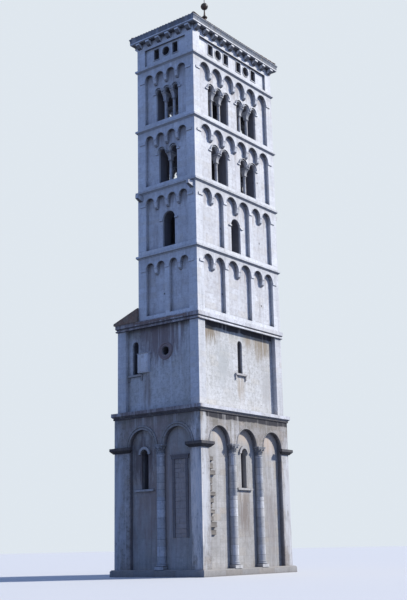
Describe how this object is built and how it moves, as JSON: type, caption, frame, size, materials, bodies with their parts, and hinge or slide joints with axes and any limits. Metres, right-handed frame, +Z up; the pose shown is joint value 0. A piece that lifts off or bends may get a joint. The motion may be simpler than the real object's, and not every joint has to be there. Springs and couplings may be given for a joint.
{
  "type": "marble bell tower on a blind-arcaded base",
  "caption": "Tall square-edged marble bell tower with hanging arches, belfry windows, a bracketed cornice and a blind-arcaded base.",
  "frame": {"origin": "on the ground, in the middle of the base's plan", "axes": "+Z up, -Y the long front, -X the short left side"},
  "size_m": [9.74, 7.27, 39.65],
  "materials": {
    "box_metal": "pale grey paint",
    "dark_stone": "dark weathered moulded stone",
    "floor_stone": "rough stone slabs",
    "ground_marble": "older, stained marble and limestone",
    "iron": "dark painted metal",
    "marble": "weathered white marble, fine joints",
    "pink_stone": "pinkish stone",
    "roof_tile": "clay tiles"
  },
  "bodies": {
    "root": {"attic_frame": "marble", "attic_long_walls": "marble", "attic_short_walls": "marble", "base_string": "dark_stone", "bearing_arch": "marble", "bed_course": "marble", "blind_arcade": "ground_marble", "corner_pilasters": "marble", "corner_stones": "marble", "cornice": "dark_stone", "cornice_corbels": "marble", "finial": "iron", "ground_long_walls": "ground_marble", "ground_short_walls": "ground_marble", "half_columns": "ground_marble", "jamb_imposts": "marble", "lean_to_roof": "roof_tile", "ledge": "dark_stone", "lesene_imposts": "marble", "oculus_rings": "pink_stone", "pier_imposts": "dark_stone", "plinth": "ground_marble", "roof": "roof_tile", "side_archivolts": "ground_marble", "slit_trims": "marble", "string_1": "marble", "string_2": "marble", "string_3": "marble", "string_4": "marble", "tier_1_arcade": "marble", "tier_1_long_walls": "marble", "tier_1_short_walls": "marble", "tier_2_arcade": "marble", "tier_2_long_walls": "marble", "tier_2_short_walls": "marble", "tier_3_arcade": "marble", "tier_3_colonnettes": "marble", "tier_3_hoods": "marble", "tier_3_long_walls": "marble", "tier_3_short_walls": "marble", "tier_4_arcade": "marble", "tier_4_colonnettes": "marble", "tier_4_hoods": "marble", "tier_4_long_walls": "marble", "tier_4_short_walls": "marble", "tier_floors": "floor_stone", "upper_long_walls": "marble", "upper_short_walls": "marble", "wall_box": "box_metal"}
  },
  "joints": []
}
